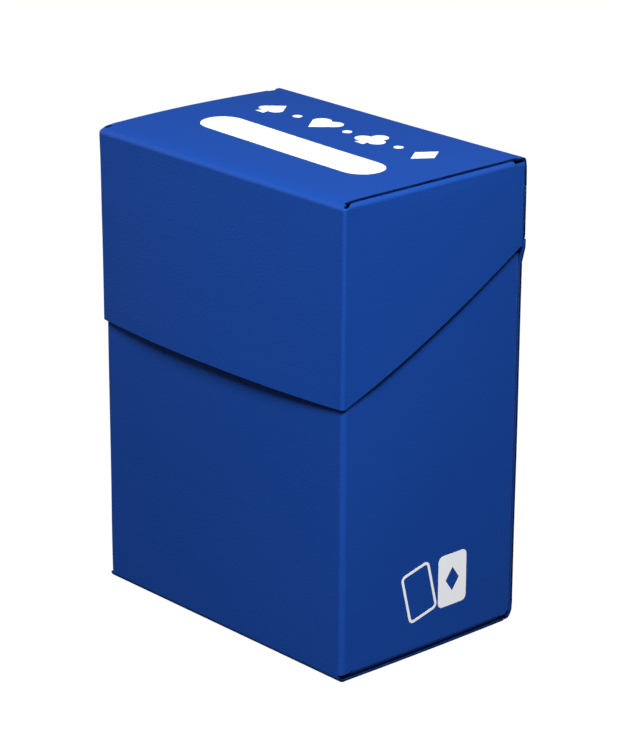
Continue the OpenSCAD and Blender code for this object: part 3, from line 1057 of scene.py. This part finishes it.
def printed_on_side(at, lean):
    turn = Matrix.Rotation(lean, 2)

    def place_it(u, v, d):
        p = turn @ Vector((u, v))
        return body_bow(Vector((side_x - d + ink, at[0] + p.x, at[1] + p.y)))
    return place_it


card_w, card_h, card_corner = 7.6, 10.8, 1.2
card_line, card_gap = 0.6, 8.9
solid_y = card_high.y - card_w / 2
card_mid = (card_low.z + card_high.z) / 2 + 0.4
hole_w, hole_h = card_w / 2 - card_line, card_h / 2 - card_line
ring_hole = [(0, hole_h), (hole_w, hole_h, 0.6), (hole_w, -hole_h, 0.6), (0, -hole_h)]
gem_hole = [(0, 2.5), (1.8, 0), (0, -2.5)]
outlined_card = ring_hole, (solid_y - card_gap, card_mid - 0.4), math.radians(14)
solid_card = gem_hole, (solid_y, card_mid), 0
cards = []
for hole, at, lean in (outlined_card, solid_card):
    right = card_half(card_w, card_h, card_corner, hole)
    left = [Vector((-p.x, p.y)) for p in reversed(right)]
    for half in (right, left):
        cards.append(cut_panel("card", half, printed_on_side(at, lean), ink, joins=[(0, 0)], edge=ink_edge))
finish_piece(joined("card_mark_ink", cards), "box_body", ["card_mark"], white_ink)

# -------------------------------------------------------------- deck divider
# A loose card of thinner polypropylene that parts the deck. It stands against
# the back of the box and slides forward.
divider_low, divider_high = mm_box("deck_divider")
divider_sheet = sheet_material(
    "divider_sheet", deep=(0.0070, 0.0480, 0.262), bright=(0.0094, 0.0565, 0.30), roughness=0.46,
)
divider_corner = 3
divider_outline = rounded([
    (divider_low.x, divider_low.z, divider_corner), (divider_high.x, divider_low.z, divider_corner),
    (divider_high.x, divider_high.z, divider_corner), (divider_low.x, divider_high.z, divider_corner),
])
finish_piece(
    cut_panel(
        "deck_divider_sheet", divider_outline, lambda u, v, d: Vector((u, divider_low.y + d, v)),
        divider_high.y - divider_low.y, steps(-30, 30, 4), steps(5, 85, 4),
    ),
    "divider", ["deck_divider"], divider_sheet,
)

# ------------------------------------------------------------ floor and light
# A plain pale sweep that shows white, a soft key light high on the front right,
# and two low fills, behind the box and on its left.
floor_mesh = bpy.data.meshes.new("floor")
sweep = 9
floor_corners = [(-sweep, -sweep, 0), (sweep, -sweep, 0), (sweep, sweep, 0), (-sweep, sweep, 0)]
floor_mesh.from_pydata(floor_corners, [], [(0, 1, 2, 3)])
floor = bpy.data.objects.new("floor", floor_mesh)
bpy.context.scene.collection.objects.link(floor)
pale_floor = bpy.data.materials.new("pale_floor")
pale_floor.use_nodes = True
floor_tree = pale_floor.node_tree
floor_shader = floor_tree.nodes["Principled BSDF"]
floor_shader.inputs["Base Color"].default_value = (0.06, 0.06, 0.06, 1)
floor_shader.inputs["Roughness"].default_value = 0.9
floor_shader.inputs["Specular IOR Level"].default_value = 0.0
floor_shader.inputs["Emission Color"].default_value = (0.96, 0.96, 0.96, 1)
seen = floor_tree.nodes.new("ShaderNodeLightPath").outputs["Is Camera Ray"]
floor_tree.links.new(seen, floor_shader.inputs["Emission Strength"])
floor.data.materials.append(pale_floor)

world = bpy.data.worlds.new("studio")
world.use_nodes = True
sky = world.node_tree
glow = sky.nodes["Background"]
glow.inputs["Color"].default_value = (1, 1, 1, 1)
glow.inputs["Strength"].default_value = 0.12
backdrop = sky.nodes.new("ShaderNodeBackground")
backdrop.inputs["Color"].default_value = (1, 1, 1, 1)
either = sky.nodes.new("ShaderNodeMixShader")
sky.links.new(sky.nodes.new("ShaderNodeLightPath").outputs["Is Camera Ray"], either.inputs[0])
sky.links.new(glow.outputs[0], either.inputs[1])
sky.links.new(backdrop.outputs[0], either.inputs[2])
sky.links.new(either.outputs[0], sky.nodes["World Output"].inputs["Surface"])
bpy.context.scene.world = world


box_middle = Vector((0, 0, 0.05))


def direction(azimuth, elevation):
    """Unit vector towards that azimuth and elevation in radians; azimuth 0 faces the front of the box."""
    return Vector((
        math.sin(azimuth) * math.cos(elevation), -math.cos(azimuth) * math.cos(elevation), math.sin(elevation),
    ))


def soft_light(name, azimuth, elevation, distance, size, power):
    """A round soft light aimed at the middle of the box."""
    light = bpy.data.lights.new(name, "AREA")
    light.shape = "DISK"
    light.size = size
    light.energy = power
    lamp = bpy.data.objects.new(name, light)
    back = direction(math.radians(azimuth), math.radians(elevation))
    lamp.location = box_middle + back * distance
    lamp.rotation_mode = "QUATERNION"
    lamp.rotation_quaternion = back.to_track_quat("Z", "Y")
    bpy.context.scene.collection.objects.link(lamp)


soft_light("key", 49.5, 50, 0.55, 0.2, 5.5)
soft_light("back_fill", 180, 8, 0.8, 0.4, 3.4)
soft_light("left_fill", 275, 8, 0.8, 0.4, 3.4)

# --------------------------------------------------------------------- camera
# A long lens that looks slightly down on the upright crease between the front
# and the right side.
azimuth, elevation, roll = math.radians(47.82), math.radians(19.72), math.radians(0.31)
aim, distance = Vector((0.00133, 0, 0.04803)), 0.6326
back = direction(azimuth, elevation)
right = Vector((math.cos(azimuth), math.sin(azimuth), 0))
up = back.cross(right)
camera_data = bpy.data.cameras.new("camera")
camera_data.sensor_width = 36
camera_data.lens = 154.0
camera = bpy.data.objects.new("camera", camera_data)
camera.location = aim + back * distance
turned_right = right * math.cos(roll) + up * math.sin(roll)
turned_up = up * math.cos(roll) - right * math.sin(roll)
camera.rotation_mode = "QUATERNION"
camera.rotation_quaternion = Matrix((turned_right, turned_up, back)).transposed().to_quaternion()
camera_data.clip_start, camera_data.clip_end = 0.05, 50
bpy.context.scene.collection.objects.link(camera)
bpy.context.scene.camera = camera
bpy.context.scene.view_settings.view_transform = "Standard"
